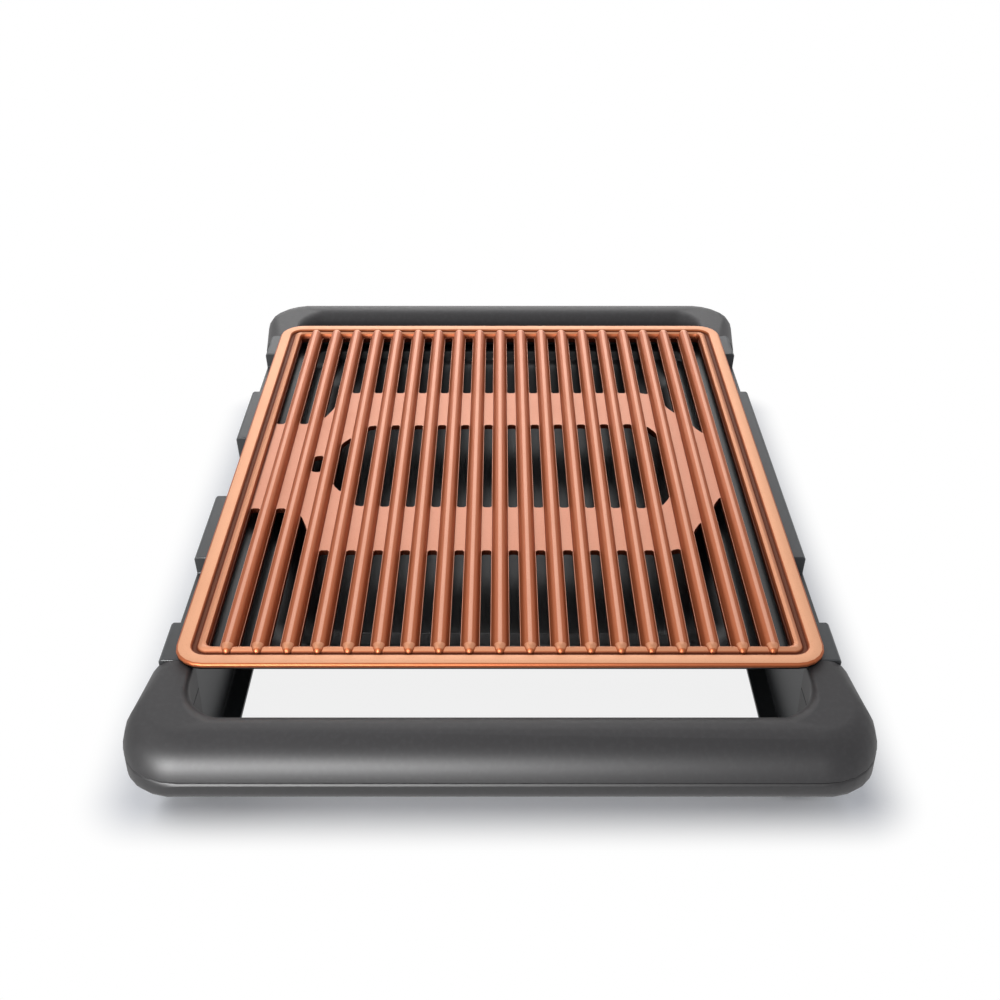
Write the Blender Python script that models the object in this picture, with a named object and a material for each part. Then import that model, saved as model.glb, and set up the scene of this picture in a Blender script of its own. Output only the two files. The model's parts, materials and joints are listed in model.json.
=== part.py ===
"""Smokeless indoor grill: base with two loop handles, drip tray, and a ribbed plate with its element.

Metres, +Z up. The origin is on the table under the middle of the grill. The front handle is at -Y,
and the inlet of the heating element is at -X.
"""
import math

import bmesh
import bpy
from mathutils import Matrix, Vector

# Fits
TOUCH_GAP = 0.0003
HOLE_CLEARANCE = 0.0003
CUT_OVERRUN = 0.002
JOIN_DEPTH = 0.001
WELD_DISTANCE = 0.00002

# Grill plate
PLATE_WIDTH = 0.330
PLATE_LENGTH = 0.406
PLATE_CORNER_RADIUS = 0.016
FIELD_CORNER_RADIUS = 0.004
FLANGE_THICKNESS = 0.003
FLANGE_WIDTH = 0.0075
FLANGE_EDGE = 0.0008
MOAT_WALL_RUN = 0.0008
MOAT_FLOOR_WIDTH = 0.002
MOAT_DEPTH = 0.0018
FRAME_WIDTH = 0.0054
FRAME_SHOULDER_SHARE = 0.2
FRAME_RISE = 0.0004
FIELD_DROP = 0.0034
WEB_THICKNESS = 0.0032
STEP_CLEARANCE = 0.0014
STEP_RUN = 0.001

# Slots and ribs of the plate
RIB_COUNT = 19
SLOT_WIDTH = 0.0056
SLOT_MARGIN = 0.0002
SLOT_CORNER = 0.0012
RIB_RISE = 0.0022
RIB_FOOT_STEP = 0.0002
RIB_EMBED = 0.0006
RIB_END_INSET = 0.0107
RIB_END_SLOPE = 0.0055
RIB_SECTION_SHARES = ((1.0, 0.0), (0.78, 0.50), (0.50, 0.88), (0.18, 1.0))
RIB_END_SHARES = ((0.0, 0.50, 0.42), (0.50, 0.85, 0.86), (1.0, 1.0, 1.0))
# Solid webs over the element: half-lengths at places across the field, both as shares of its half-sizes
WEB_OUTER_SHARES = ((-1.0, 0.280), (-0.81, 0.280), (-0.70, 0.518), (0.683, 0.518), (0.918, 0.176))
WEB_INNER_SHARES = ((-0.800, 0.050), (-0.755, 0.056), (-0.580, 0.270), (0.643, 0.280), (0.717, 0.176))

# Heating element and its channel
ELEMENT_DIAMETER = 0.007
ELEMENT_BEND_RADIUS = 0.014
ELEMENT_BEND_STEPS = 3
ELEMENT_ROUTE_SHARES = ((-0.655, 0.399), (0.640, 0.399), (0.815, 0.160))
ELEMENT_SPLAY_SHARE = 0.86
CHANNEL_WALL = 0.0028
CHANNEL_DEPTH = 0.005
GROOVE_INTO_WEB = 0.001

# Terminals under the left edge of the plate
TERMINAL_INSET = 0.0203
PIN_SPACING = 0.027
PIN_DIAMETER = 0.0048
PIN_LENGTH = 0.0152
PIN_POINT = 0.0008
INSULATOR_DIAMETER = 0.0085
INSULATOR_LENGTH = 0.0048
SLEEVE_DIAMETER = 0.007
SLEEVE_WALL = 0.0009
SLEEVE_OUT = 0.0150
SLEEVE_IN = 0.0225
SLEEVE_CHANNEL_IN = 0.0200
GUARD_SHEET = 0.0012
GUARD_LENGTH = 0.0170
GUARD_HALF_WIDTH = 0.023
GUARD_HEIGHT = 0.0106
GUARD_EAR = 0.008
GUARD_SCREW_DIAMETER = 0.003
GUARD_SCREW_GRIP = 0.0040

# Drip tray
RIM_COVER_SIDE = 0.0017
RIM_COVER_END = 0.0025
TRAY_CORNER_RADIUS = 0.013
TRAY_SHEET = 0.0009
ROLL_DIAMETER = 0.0026
ROLL_ANGLES = (-45, -315)
ROLL_STEPS = 6
LEDGE_WIDTH = 0.0030
LEDGE_DROP = 0.0006
UPPER_WALL_RUN = 0.0034
UPPER_WALL_DROP = 0.0073
STEP_WIDTH = 0.0106
STEP_FALL = 0.0004
LOWER_WALL_RUN = 0.0028
LOWER_WALL_DROP = 0.0050
BAND_WIDTH = 0.0116
BAND_FALL = 0.0008
SLOPE_RUN = 0.025
SLOPE_DROP = 0.0124
WELL_EDGE_RUN = 0.003
WELL_EDGE_DROP = 0.0012
WELL_CORNER_RADIUS = 0.022
TRAY_NOTCH_HALF = 0.034
TRAY_NOTCH_DEPTH = 0.0105
TRAY_NOTCH_BACK = 0.0040

# Side rails of the base
FOOT_HEIGHT = 0.008
BASE_HEIGHT = 0.068
RAIL_SHOULDER = 0.0102
RAIL_WALL = 0.0025
RAIL_EDGE = 0.0014
SEAT_WIDTH = 0.0043
SEAT_DEPTH = 0.0016
SEAT_CLEARANCE = 0.0007
INNER_WALL_LEAN = 0.0055
OUTER_WALL_LEAN = 0.0035
RAIL_FLANGE_REACH = 0.010
NOTCH_INSET = 0.038
NOTCH_LENGTH = 0.060
NOTCH_DEPTH = 0.011
INLET_HALF_WIDTH = 0.036
INLET_DEPTH = 0.034
RAIL_END_WALL = 0.003

# Handles, one at each end
PARTING_INSET = 0.006
FINGER_GAP = 0.029
BAR_DEPTH = 0.035
BAR_HEIGHT = 0.035
HANDLE_PROUD = 0.0095
ARM_PROUD = 0.0055
ARM_INSET = 0.0087
HANDLE_CORNER_RADIUS = 0.031
SLOT_CORNER_RADIUS = 0.020
SHELL_WALL = 0.003
PARTING_EDGE = 0.0008
BAR_INNER_EDGE = 0.0135
ARM_INNER_EDGE = 0.003
LEAST_EDGE = 0.0008
BAR_CROWN_RUN = 0.020
ARM_CROWN_RUN = 0.014
ARM_FOOT_EDGE = 0.006
LEG_START_SETBACK = 0.018
LEG_LENGTH = 0.029
HANDLE_CORNER_STEPS = 6
ARM_STATION_SHARES = (0.3, 0.6, 1.0)
OUTSIDE_STEPS = (3, 5)
INSIDE_STEPS = (1, 2)
LUG_DEPTH = 0.0053
LUG_FRONT = 0.021
TAB_LENGTH = 0.017
TAB_SIDE_GAP = 0.001

# Fasteners and feet
SHELL_SCREW_DIAMETER = 0.003
SHELL_SCREW_LENGTH = 0.016
SCREW_HEAD_DIAMETER = 0.006
SCREW_HEAD_HEIGHT = 0.0019
SCREW_SIDES = 8
HEAD_CROWN_SHARE = 0.6
HEAD_SIDE_SHARE = 0.45
BOSS_WALL = 0.0022
BOSS_SEAT_WEB = 0.003
BOSS_RISE = 0.006
BAR_SCREW_SHARES = (-0.70, -0.25, 0.25, 0.70)
TIE_SCREW_SETBACK = 0.008
TIE_SCREW_LENGTH = 0.0088
FOOT_DIAMETER = 0.015
FOOT_TAPER = 0.001
FOOT_STEM_DIAMETER = 0.005
FOOT_STEM_LENGTH = 0.0042
FOOT_SETBACK = 0.0115
FOOT_SIDES = 12

# Corners of the plate, the tray and its seat
ROUND_CORNER_STEPS = 5

# Sizes that follow
TRAY_HALF_X = PLATE_WIDTH / 2 - RIM_COVER_SIDE
TRAY_HALF_Y = PLATE_LENGTH / 2 - RIM_COVER_END
RAIL_OUTER_X = TRAY_HALF_X + RAIL_SHOULDER
RAIL_INNER_X = TRAY_HALF_X - SEAT_WIDTH
PARTING_Y = TRAY_HALF_Y - PARTING_INSET
RAIL_TOP_Z = FOOT_HEIGHT + BASE_HEIGHT
SEAT_Z = RAIL_TOP_Z - SEAT_DEPTH
TRAY_TOP_Z = SEAT_Z + TOUCH_GAP + ROLL_DIAMETER
PLATE_TOP_Z = TRAY_TOP_Z + TOUCH_GAP + FLANGE_THICKNESS
PARTING_Z = RAIL_TOP_Z - BAR_HEIGHT / 2
BAR_BOTTOM_Z = RAIL_TOP_Z - BAR_HEIGHT
BAR_INNER_Y = TRAY_HALF_Y + FINGER_GAP
BAR_OUTER_Y = BAR_INNER_Y + BAR_DEPTH
BAR_MID_Y = BAR_INNER_Y + BAR_DEPTH / 2
ARM_INNER_X = TRAY_HALF_X - ARM_INSET
ARM_OUTER_X = RAIL_OUTER_X + ARM_PROUD
HANDLE_HALF_X = RAIL_OUTER_X + HANDLE_PROUD
LUG_INNER_X = RAIL_INNER_X - INNER_WALL_LEAN - RAIL_FLANGE_REACH

FRAME_INSET = FLANGE_WIDTH + MOAT_WALL_RUN + MOAT_FLOOR_WIDTH
FIELD_INSET = FRAME_INSET + FRAME_WIDTH
FIELD_HALF_X = PLATE_WIDTH / 2 - FIELD_INSET
FIELD_HALF_Y = PLATE_LENGTH / 2 - FIELD_INSET
FIRST_SLOT_X = SLOT_WIDTH / 2 + SLOT_MARGIN - FIELD_HALF_X
RIB_PITCH = -2 * FIRST_SLOT_X / RIB_COUNT
RIB_WIDTH = RIB_PITCH - SLOT_WIDTH - 2 * RIB_FOOT_STEP
WEB_UNDER_Z = -FIELD_DROP - WEB_THICKNESS
CHANNEL_UNDER_Z = WEB_UNDER_Z - CHANNEL_DEPTH
GROOVE_TOP_Z = WEB_UNDER_Z + GROOVE_INTO_WEB
ELEMENT_Z = GROOVE_TOP_Z - TOUCH_GAP - ELEMENT_DIAMETER / 2
TERMINAL_X = TERMINAL_INSET - PLATE_WIDTH / 2


# Mesh and object helpers

def clear_scene():
    for item in list(bpy.data.objects):
        bpy.data.objects.remove(item, do_unlink=True)


def make_material(name, colour, roughness, metallic=0.0, coat=0.0):
    material = bpy.data.materials.new(name)
    material.use_nodes = True
    shader = material.node_tree.nodes["Principled BSDF"]
    shader.inputs["Base Color"].default_value = (*colour, 1.0)
    shader.inputs["Roughness"].default_value = roughness
    shader.inputs["Metallic"].default_value = metallic
    shader.inputs["Coat Weight"].default_value = coat
    return material


def add_object(name, bm, material=None, parent=None, place=(0, 0, 0), turn=None, smooth=0.6):
    bmesh.ops.recalc_face_normals(bm, faces=bm.faces)
    mesh = bpy.data.meshes.new(name)
    bm.to_mesh(mesh)
    bm.free()
    item = bpy.data.objects.new(name, mesh)
    bpy.context.scene.collection.objects.link(item)
    item.parent = parent
    item.location = place
    if turn:
        item.rotation_euler = turn
    if material:
        mesh.materials.append(material)
        mesh.shade_smooth()
        mesh.set_sharp_from_angle(angle=smooth)
    return item


def add_empty(name, place=(0, 0, 0), parent=None, turn=None):
    item = bpy.data.objects.new(name, None)
    bpy.context.scene.collection.objects.link(item)
    item.parent = parent
    item.location = place
    if turn:
        item.rotation_euler = turn
    return item


def use_boolean(item, tool, operation):
    tool.hide_render = True
    tool.display_type = "WIRE"
    step = item.modifiers.new(tool.name, "BOOLEAN")
    step.operation = operation
    step.solver = "EXACT"
    step.object = tool


def add_loft(bm, rings, closed=False):
    """Skin rings of equal length, capped at both ends unless the loft closes on itself."""
    rows = [[bm.verts.new(point) for point in ring] for ring in rings]
    pairs = list(zip(rows, rows[1:]))
    if closed:
        pairs.append((rows[-1], rows[0]))
    for low, high in pairs:
        for index in range(len(low)):
            after = (index + 1) % len(low)
            bm.faces.new((low[index], low[after], high[after], high[index]))
    if not closed:
        bm.faces.new(reversed(rows[0]))
        bm.faces.new(rows[-1])


def add_prism(bm, outline, low, high):
    """A flat outline of (x, y) points, extruded up from one height to another."""
    face = bm.faces.new([bm.verts.new((x, y, low)) for x, y in outline])
    raised = bmesh.ops.extrude_face_region(bm, geom=[face])
    top = [part for part in raised["geom"] if isinstance(part, bmesh.types.BMVert)]
    bmesh.ops.translate(bm, vec=(0, 0, high - low), verts=top)


def add_box(bm, low, high):
    (x0, y0, z0), (x1, y1, z1) = low, high
    add_prism(bm, ((x0, y0), (x1, y0), (x1, y1), (x0, y1)), z0, z1)


def add_round(bm, place, radius, low, high, sides=SCREW_SIDES):
    """An upright cylinder between two heights."""
    middle = Matrix.Translation((place[0], place[1], (low + high) / 2))
    bmesh.ops.create_cone(
        bm, cap_ends=True, segments=sides, radius1=radius, radius2=radius, depth=high - low, matrix=middle
    )


def turned(profile, sides):
    """A solid of revolution about Z from (radius, z) points; it is closed when it starts and ends on the axis."""
    bm = bmesh.new()
    verts = [bm.verts.new((radius, 0, z)) for radius, z in profile]
    edges = [bm.edges.new(pair) for pair in zip(verts, verts[1:])]
    bmesh.ops.spin(
        bm, geom=verts + edges, axis=(0, 0, 1), cent=(0, 0, 0), angle=2 * math.pi, steps=sides, use_merge=True
    )
    bmesh.ops.remove_doubles(bm, verts=bm.verts, dist=1e-6)
    return bm


def turned_ring(profile, sides):
    """A ring about Z from a closed outline of (radius, z) points."""
    bm = bmesh.new()
    rings = []
    for side in range(sides):
        angle = 2 * math.pi * side / sides
        rings.append([(radius * math.cos(angle), radius * math.sin(angle), z) for radius, z in profile])
    add_loft(bm, rings, closed=True)
    return bm


def rounded_ring(half_x, half_y, radius, z):
    """A rounded rectangle of points at one height."""
    points = []
    for corner, (side_x, side_y) in enumerate(((1, 1), (-1, 1), (-1, -1), (1, -1))):
        for step in range(ROUND_CORNER_STEPS + 1):
            angle = math.pi / 2 * (corner + step / ROUND_CORNER_STEPS)
            points.append((
                side_x * (half_x - radius) + radius * math.cos(angle),
                side_y * (half_y - radius) + radius * math.sin(angle),
                z,
            ))
    return points


def blend(start, end, share):
    return start + (end - start) * share


def ease(share):
    share = min(max(share, 0.0), 1.0)
    return share * share * (3 - 2 * share)


# Grill plate, about its own origin: the middle of the flange's top

def plate_ring(inset, z):
    radius = max(PLATE_CORNER_RADIUS - inset, FIELD_CORNER_RADIUS)
    return rounded_ring(PLATE_WIDTH / 2 - inset, PLATE_LENGTH / 2 - inset, radius, z)


def plate_body():
    under, top = -FLANGE_THICKNESS, 0
    mouth = ROLL_DIAMETER + LEDGE_DROP / 2 + LEDGE_WIDTH + STEP_CLEARANCE
    moat_in = FLANGE_WIDTH + MOAT_WALL_RUN
    crest = FRAME_INSET + FRAME_WIDTH / 2
    shoulder = FRAME_WIDTH * FRAME_SHOULDER_SHARE
    steps = (
        (FLANGE_EDGE, under), (0, under + FLANGE_EDGE), (0, top - FLANGE_EDGE), (FLANGE_EDGE, top), (FLANGE_WIDTH, top),
        (moat_in, -MOAT_DEPTH), (FRAME_INSET, -MOAT_DEPTH), (FRAME_INSET + shoulder, -FRAME_RISE),
        (crest, FRAME_RISE), (FIELD_INSET - shoulder, -FRAME_RISE), (FIELD_INSET, -FIELD_DROP),
    )
    rings = []
    for inset, z in ((mouth + STEP_RUN, WEB_UNDER_Z), (mouth, under)):
        radius = PLATE_CORNER_RADIUS - RIM_COVER_SIDE - inset
        rings.append(rounded_ring(TRAY_HALF_X - inset, TRAY_HALF_Y - inset, radius, z))
    bm = bmesh.new()
    add_loft(bm, rings + [plate_ring(inset, z) for inset, z in steps])
    return bm


def share_reach(shares, x):
    """Half-length of a web's boundary at x, from its shares of the field."""
    places = [(across * FIELD_HALF_X, along * FIELD_HALF_Y) for across, along in shares]
    for (x0, y0), (x1, y1) in zip(places, places[1:]):
        if x0 <= x <= x1:
            return blend(y0, y1, (x - x0) / (x1 - x0))
    return 0


def chamfered(left, right, left_ends, right_ends):
    """A slot's outline between two edges, its corners cut."""
    cut = SLOT_CORNER
    (left_low, left_high), (right_low, right_high) = left_ends, right_ends
    tilt_low = (right_low - left_low) * cut / (right - left)
    tilt_high = (right_high - left_high) * cut / (right - left)
    return (
        (left, left_low + cut), (left + cut, left_low + tilt_low), (right - cut, right_low - tilt_low),
        (right, right_low + cut), (right, right_high - cut), (right - cut, right_high - tilt_high),
        (left + cut, left_high + tilt_high), (left, left_high - cut),
    )


def slot_outlines():
    end = FIELD_HALF_Y - SLOT_MARGIN
    for column in range(RIB_COUNT + 1):
        middle = FIRST_SLOT_X + column * RIB_PITCH
        left, right = middle - SLOT_WIDTH / 2, middle + SLOT_WIDTH / 2
        outer = share_reach(WEB_OUTER_SHARES, left), share_reach(WEB_OUTER_SHARES, right)
        inner = share_reach(WEB_INNER_SHARES, left), share_reach(WEB_INNER_SHARES, right)
        if max(outer) == 0:
            yield chamfered(left, right, (-end, end), (-end, end))
            continue
        yield chamfered(left, right, (outer[0], end), (outer[1], end))
        yield chamfered(left, right, (-end, -outer[0]), (-end, -outer[1]))
        if max(inner) > 2 * SLOT_CORNER:
            low = max(inner[0], 2 * SLOT_CORNER), max(inner[1], 2 * SLOT_CORNER)
            yield chamfered(left, right, (-low[0], low[0]), (-low[1], low[1]))


def add_rib(bm, x):
    base = -FIELD_DROP - RIB_EMBED
    rise = RIB_RISE - base
    half = [(RIB_WIDTH / 2 * wide, rise * tall) for wide, tall in RIB_SECTION_SHARES]
    section = [(-wide, tall) for wide, tall in half] + [(wide, tall) for wide, tall in reversed(half)]
    end = PLATE_LENGTH / 2 - RIB_END_INSET
    stations = [(-end + RIB_END_SLOPE * along, wide, tall) for along, wide, tall in RIB_END_SHARES]
    stations += [(-y, wide, tall) for y, wide, tall in reversed(stations)]
    add_loft(bm, [
        [(x + across * wide, y, base + up * tall) for across, up in section] for y, wide, tall in stations
    ])


def rounded_route(points, radius):
    """The points of a flat route with each inner corner turned to an arc."""
    route = [Vector(points[0])]
    for before, corner, after in zip(points, points[1:], points[2:]):
        corner = Vector(corner)
        to_before = (Vector(before) - corner).normalized()
        to_after = (Vector(after) - corner).normalized()
        half_angle = to_before.angle(to_after) / 2
        reach = radius / math.tan(half_angle)
        centre = corner + (to_before + to_after).normalized() * radius / math.sin(half_angle)
        start = corner + to_before * reach - centre
        swing = start.angle_signed(corner + to_after * reach - centre)
        for step in range(ELEMENT_BEND_STEPS + 1):
            turn = Matrix.Rotation(-swing * step / ELEMENT_BEND_STEPS, 2)
            route.append(centre + turn @ start)
    route.append(Vector(points[-1]))
    return route


def element_route(start_x):
    """The element's centre line in plan, from one cold end round to the other."""
    leg = [(across * FIELD_HALF_X, along * FIELD_HALF_Y) for across, along in ELEMENT_ROUTE_SHARES]
    pin_y = PIN_SPACING / 2
    half = [(start_x, pin_y), (-FIELD_HALF_X * ELEMENT_SPLAY_SHARE, pin_y)] + leg
    return rounded_route(half + [(x, -y) for x, y in reversed(half)], ELEMENT_BEND_RADIUS)


def add_band(bm, route, width, low, high):
    """A bar of rectangular section along a flat route."""
    lefts, rights = [], []
    for index, point in enumerate(route):
        before = route[max(index - 1, 0)]
        after = route[min(index + 1, len(route) - 1)]
        along = (after - before).normalized()
        if 0 < index < len(route) - 1:
            bend = (point - before).normalized().angle((after - point).normalized())
        else:
            bend = 0
        across = Vector((-along.y, along.x)) * (width / 2 / math.cos(bend / 2))
        lefts.append(point + across)
        rights.append(point - across)
    add_prism(bm, lefts + list(reversed(rights)), low, high)


def make_plate(material, parent):
    plate = add_object("grill_plate", plate_body(), material, parent)

    channel = bmesh.new()
    channel_width = ELEMENT_DIAMETER + 2 * TOUCH_GAP + 2 * CHANNEL_WALL
    add_band(channel, element_route(TERMINAL_X), channel_width, CHANNEL_UNDER_Z, WEB_UNDER_Z + JOIN_DEPTH)
    use_boolean(plate, add_object("channel_walls", channel, parent=parent), "UNION")

    sleeve_wall = bmesh.new()
    half = channel_width / 2
    add_box(
        sleeve_wall,
        (TERMINAL_X, -half, CHANNEL_UNDER_Z),
        (TERMINAL_X + SLEEVE_CHANNEL_IN, half, WEB_UNDER_Z + JOIN_DEPTH),
    )
    use_boolean(plate, add_object("sleeve_walls", sleeve_wall, parent=parent), "UNION")

    ribs = bmesh.new()
    for rib in range(RIB_COUNT):
        add_rib(ribs, FIRST_SLOT_X + (rib + 1 / 2) * RIB_PITCH)
    use_boolean(plate, add_object("ribs", ribs, parent=parent), "UNION")

    slots = bmesh.new()
    for outline in slot_outlines():
        add_prism(slots, outline, WEB_UNDER_Z - CUT_OVERRUN, CUT_OVERRUN - FIELD_DROP)
    use_boolean(plate, add_object("slots", slots, parent=parent), "DIFFERENCE")

    groove = bmesh.new()
    width = ELEMENT_DIAMETER + 2 * TOUCH_GAP
    low = CHANNEL_UNDER_Z - CUT_OVERRUN
    add_band(groove, element_route(TERMINAL_X - CUT_OVERRUN), width, low, GROOVE_TOP_Z)
    use_boolean(plate, add_object("element_groove", groove, parent=parent), "DIFFERENCE")

    sleeve_groove = bmesh.new()
    add_box(
        sleeve_groove,
        (TERMINAL_X - CUT_OVERRUN, -width / 2, low),
        (TERMINAL_X + SLEEVE_IN + CUT_OVERRUN, width / 2, GROOVE_TOP_Z),
    )
    use_boolean(plate, add_object("sleeve_groove", sleeve_groove, parent=parent), "DIFFERENCE")

    pocket = bmesh.new()
    pocket_half = (PIN_SPACING + INSULATOR_DIAMETER) / 2 + CHANNEL_WALL
    pocket_top = ELEMENT_Z + INSULATOR_DIAMETER / 2 + TOUCH_GAP
    add_box(pocket, (-PLATE_WIDTH / 2, -pocket_half, low), (TERMINAL_X, pocket_half, pocket_top))
    use_boolean(plate, add_object("terminal_pocket", pocket, parent=parent), "DIFFERENCE")

    holes = bmesh.new()
    radius = GUARD_SCREW_DIAMETER / 2 + HOLE_CLEARANCE
    for side in (-1, 1):
        place = (guard_screw_x(), side * guard_screw_y())
        add_round(holes, place, radius, WEB_UNDER_Z - CUT_OVERRUN, WEB_UNDER_Z + GUARD_SCREW_GRIP + HOLE_CLEARANCE)
    use_boolean(plate, add_object("guard_screw_holes", holes, parent=parent), "DIFFERENCE")
    weld = plate.modifiers.new("weld", "WELD")
    weld.merge_threshold = WELD_DISTANCE


# Element, terminals and guard, about the plate's origin

def guard_screw_x():
    return TERMINAL_X - GUARD_LENGTH / 2


def guard_screw_y():
    return GUARD_HALF_WIDTH + GUARD_EAR / 2


def make_element(material, parent):
    route = element_route(TERMINAL_X - TOUCH_GAP)
    curve = bpy.data.curves.new("heating_element", "CURVE")
    curve.dimensions = "3D"
    curve.bevel_depth = ELEMENT_DIAMETER / 2
    curve.bevel_resolution = 1
    curve.use_fill_caps = True
    line = curve.splines.new("POLY")
    line.points.add(len(route) - 1)
    for point, place in zip(line.points, route):
        point.co = (place.x, place.y, 0, 1)
    curve.materials.append(material)
    item = bpy.data.objects.new("heating_element", curve)
    bpy.context.scene.collection.objects.link(item)
    item.parent = parent
    item.location = (0, 0, ELEMENT_Z)
    return item


def make_terminals(steel, ceramic, parent):
    outward = (0, -math.pi / 2, 0)
    pin_start = TERMINAL_X - 2 * TOUCH_GAP
    radius = PIN_DIAMETER / 2
    pin_profile = ((0, 0), (radius, 0), (radius, PIN_LENGTH - PIN_POINT),
                   (radius - PIN_POINT, PIN_LENGTH), (0, PIN_LENGTH))
    bore, rim = radius + HOLE_CLEARANCE, INSULATOR_DIAMETER / 2
    bevel = PIN_POINT
    bush_profile = ((bore, 0), (rim, 0), (rim, INSULATOR_LENGTH - bevel),
                    (rim - bevel, INSULATOR_LENGTH), (bore, INSULATOR_LENGTH))
    for side, name in ((-1, "front"), (1, "rear")):
        place = (pin_start, side * PIN_SPACING / 2, ELEMENT_Z)
        add_object(f"terminal_pin_{name}", turned(pin_profile, FOOT_SIDES), steel, parent, place, outward)
        add_object(
            f"terminal_insulator_{name}", turned_ring(bush_profile, FOOT_SIDES), ceramic, parent, place, outward
        )

    outer, inner = SLEEVE_DIAMETER / 2, SLEEVE_DIAMETER / 2 - SLEEVE_WALL
    length = SLEEVE_OUT + SLEEVE_IN
    nose = SLEEVE_WALL
    sleeve_profile = ((0, 0), (outer - nose, 0), (outer, nose), (outer, length), (inner, length),
                      (inner, 2 * nose), (0, 2 * nose))
    place = (TERMINAL_X + SLEEVE_IN, 0, ELEMENT_Z)
    add_object("sensor_sleeve", turned(sleeve_profile, FOOT_SIDES), steel, parent, place, outward)


def make_guard(material, parent):
    top = WEB_UNDER_Z - TOUCH_GAP
    low = top - GUARD_HEIGHT
    half, sheet = GUARD_HALF_WIDTH, GUARD_SHEET
    ear = half + GUARD_EAR
    side = ((-ear, top), (-half, top), (-half + sheet, top - sheet), (-half + sheet, low + sheet))
    edge = ((-half, low), (-half, top - sheet), (-ear, top - sheet))
    outline = side + tuple((-y, z) for y, z in reversed(side))
    outline += tuple((-y, z) for y, z in reversed(edge)) + edge
    bm = bmesh.new()
    near, far = TERMINAL_X - TOUCH_GAP, TERMINAL_X - TOUCH_GAP - GUARD_LENGTH
    add_loft(bm, [[(x, y, z) for y, z in outline] for x in (far, near)])
    guard = add_object("terminal_guard", bm, material, parent)
    holes = bmesh.new()
    for sign in (-1, 1):
        place = (guard_screw_x(), sign * guard_screw_y())
        add_round(holes, place, GUARD_SCREW_DIAMETER / 2 + HOLE_CLEARANCE, top - sheet - CUT_OVERRUN, top + CUT_OVERRUN)
    use_boolean(guard, add_object("guard_holes", holes, parent=parent), "DIFFERENCE")


# Drip tray, about its own origin: the middle of the rim's top

def tray_profile():
    """The pan's upper face from the rim inward, as (inset, height)."""
    moves = (
        (ROLL_DIAMETER + LEDGE_DROP / 2, -LEDGE_DROP), (LEDGE_WIDTH, 0), (UPPER_WALL_RUN, -UPPER_WALL_DROP),
        (STEP_WIDTH, -STEP_FALL), (LOWER_WALL_RUN, -LOWER_WALL_DROP), (BAND_WIDTH, -BAND_FALL),
        (SLOPE_RUN, -SLOPE_DROP), (WELL_EDGE_RUN, -WELL_EDGE_DROP),
    )
    points, inset, height = [], 0, 0
    for run, drop in moves:
        inset, height = inset + run, height + drop
        points.append((inset, height))
    return points


def offset_under(points):
    """The same line, one sheet thickness below and outside."""
    normals = []
    for (x0, z0), (x1, z1) in zip(points, points[1:]):
        length = math.hypot(x1 - x0, z1 - z0)
        normals.append(((z1 - z0) / length, -(x1 - x0) / length))
    normals = [(0, -1)] + normals + [(0, -1)]
    shifted = []
    for (x, z), (ax, az), (bx, bz) in zip(points, normals, normals[1:]):
        scale = TRAY_SHEET / (1 + ax * bx + az * bz)
        shifted.append((x + (ax + bx) * scale, z + (az + bz) * scale))
    return shifted


def tray_corner(inset, well_inset):
    wall_inset = ROLL_DIAMETER + LEDGE_WIDTH
    if inset < wall_inset:
        return TRAY_CORNER_RADIUS - inset
    share = (inset - wall_inset) / (well_inset - wall_inset)
    return blend(TRAY_CORNER_RADIUS - wall_inset, WELL_CORNER_RADIUS, min(share, 1))


def make_tray(material, parent):
    upper = tray_profile()
    under = offset_under(upper)
    radius = ROLL_DIAMETER / 2
    roll = []
    for step in range(ROLL_STEPS + 1):
        angle = math.radians(blend(ROLL_ANGLES[0], ROLL_ANGLES[1], step / ROLL_STEPS))
        roll.append((radius + radius * math.cos(angle), radius * math.sin(angle) - radius))
    rings = []
    for inset, height in list(reversed(under)) + roll + upper:
        corner = tray_corner(inset, upper[-1][0])
        rings.append(rounded_ring(TRAY_HALF_X - inset, TRAY_HALF_Y - inset, corner, height))
    bm = bmesh.new()
    add_loft(bm, rings)
    tray = add_object("drip_tray", bm, material, parent)

    lower_wall_inset = ROLL_DIAMETER + LEDGE_WIDTH + UPPER_WALL_RUN + STEP_WIDTH + LOWER_WALL_RUN
    notch = bmesh.new()
    add_box(
        notch,
        (-TRAY_HALF_X - CUT_OVERRUN, -TRAY_NOTCH_HALF, -TRAY_NOTCH_DEPTH),
        (-TRAY_HALF_X + lower_wall_inset + TRAY_NOTCH_BACK, TRAY_NOTCH_HALF, CUT_OVERRUN),
    )
    use_boolean(tray, add_object("inlet_notch", notch, parent=parent), "DIFFERENCE")


# Side rails, drawn for the right side and mirrored by their sign

def wall_share(z):
    return (z - FOOT_HEIGHT) / BASE_HEIGHT


def rail_outer(z):
    return blend(RAIL_OUTER_X - OUTER_WALL_LEAN, RAIL_OUTER_X, wall_share(z))


def rail_inner(z):
    return blend(RAIL_INNER_X - INNER_WALL_LEAN, RAIL_INNER_X, wall_share(z))


def notch_spans():
    start = TRAY_HALF_Y - NOTCH_INSET - NOTCH_LENGTH
    return ((-start - NOTCH_LENGTH, -start), (start, start + NOTCH_LENGTH))


def seat_prism(name, parent):
    bm = bmesh.new()
    half_x, half_y = TRAY_HALF_X + SEAT_CLEARANCE, TRAY_HALF_Y + SEAT_CLEARANCE
    radius = TRAY_CORNER_RADIUS + SEAT_CLEARANCE
    add_loft(bm, [rounded_ring(half_x, half_y, radius, z) for z in (SEAT_Z, RAIL_TOP_Z + CUT_OVERRUN)])
    return add_object(name, bm, parent=parent)


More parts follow.
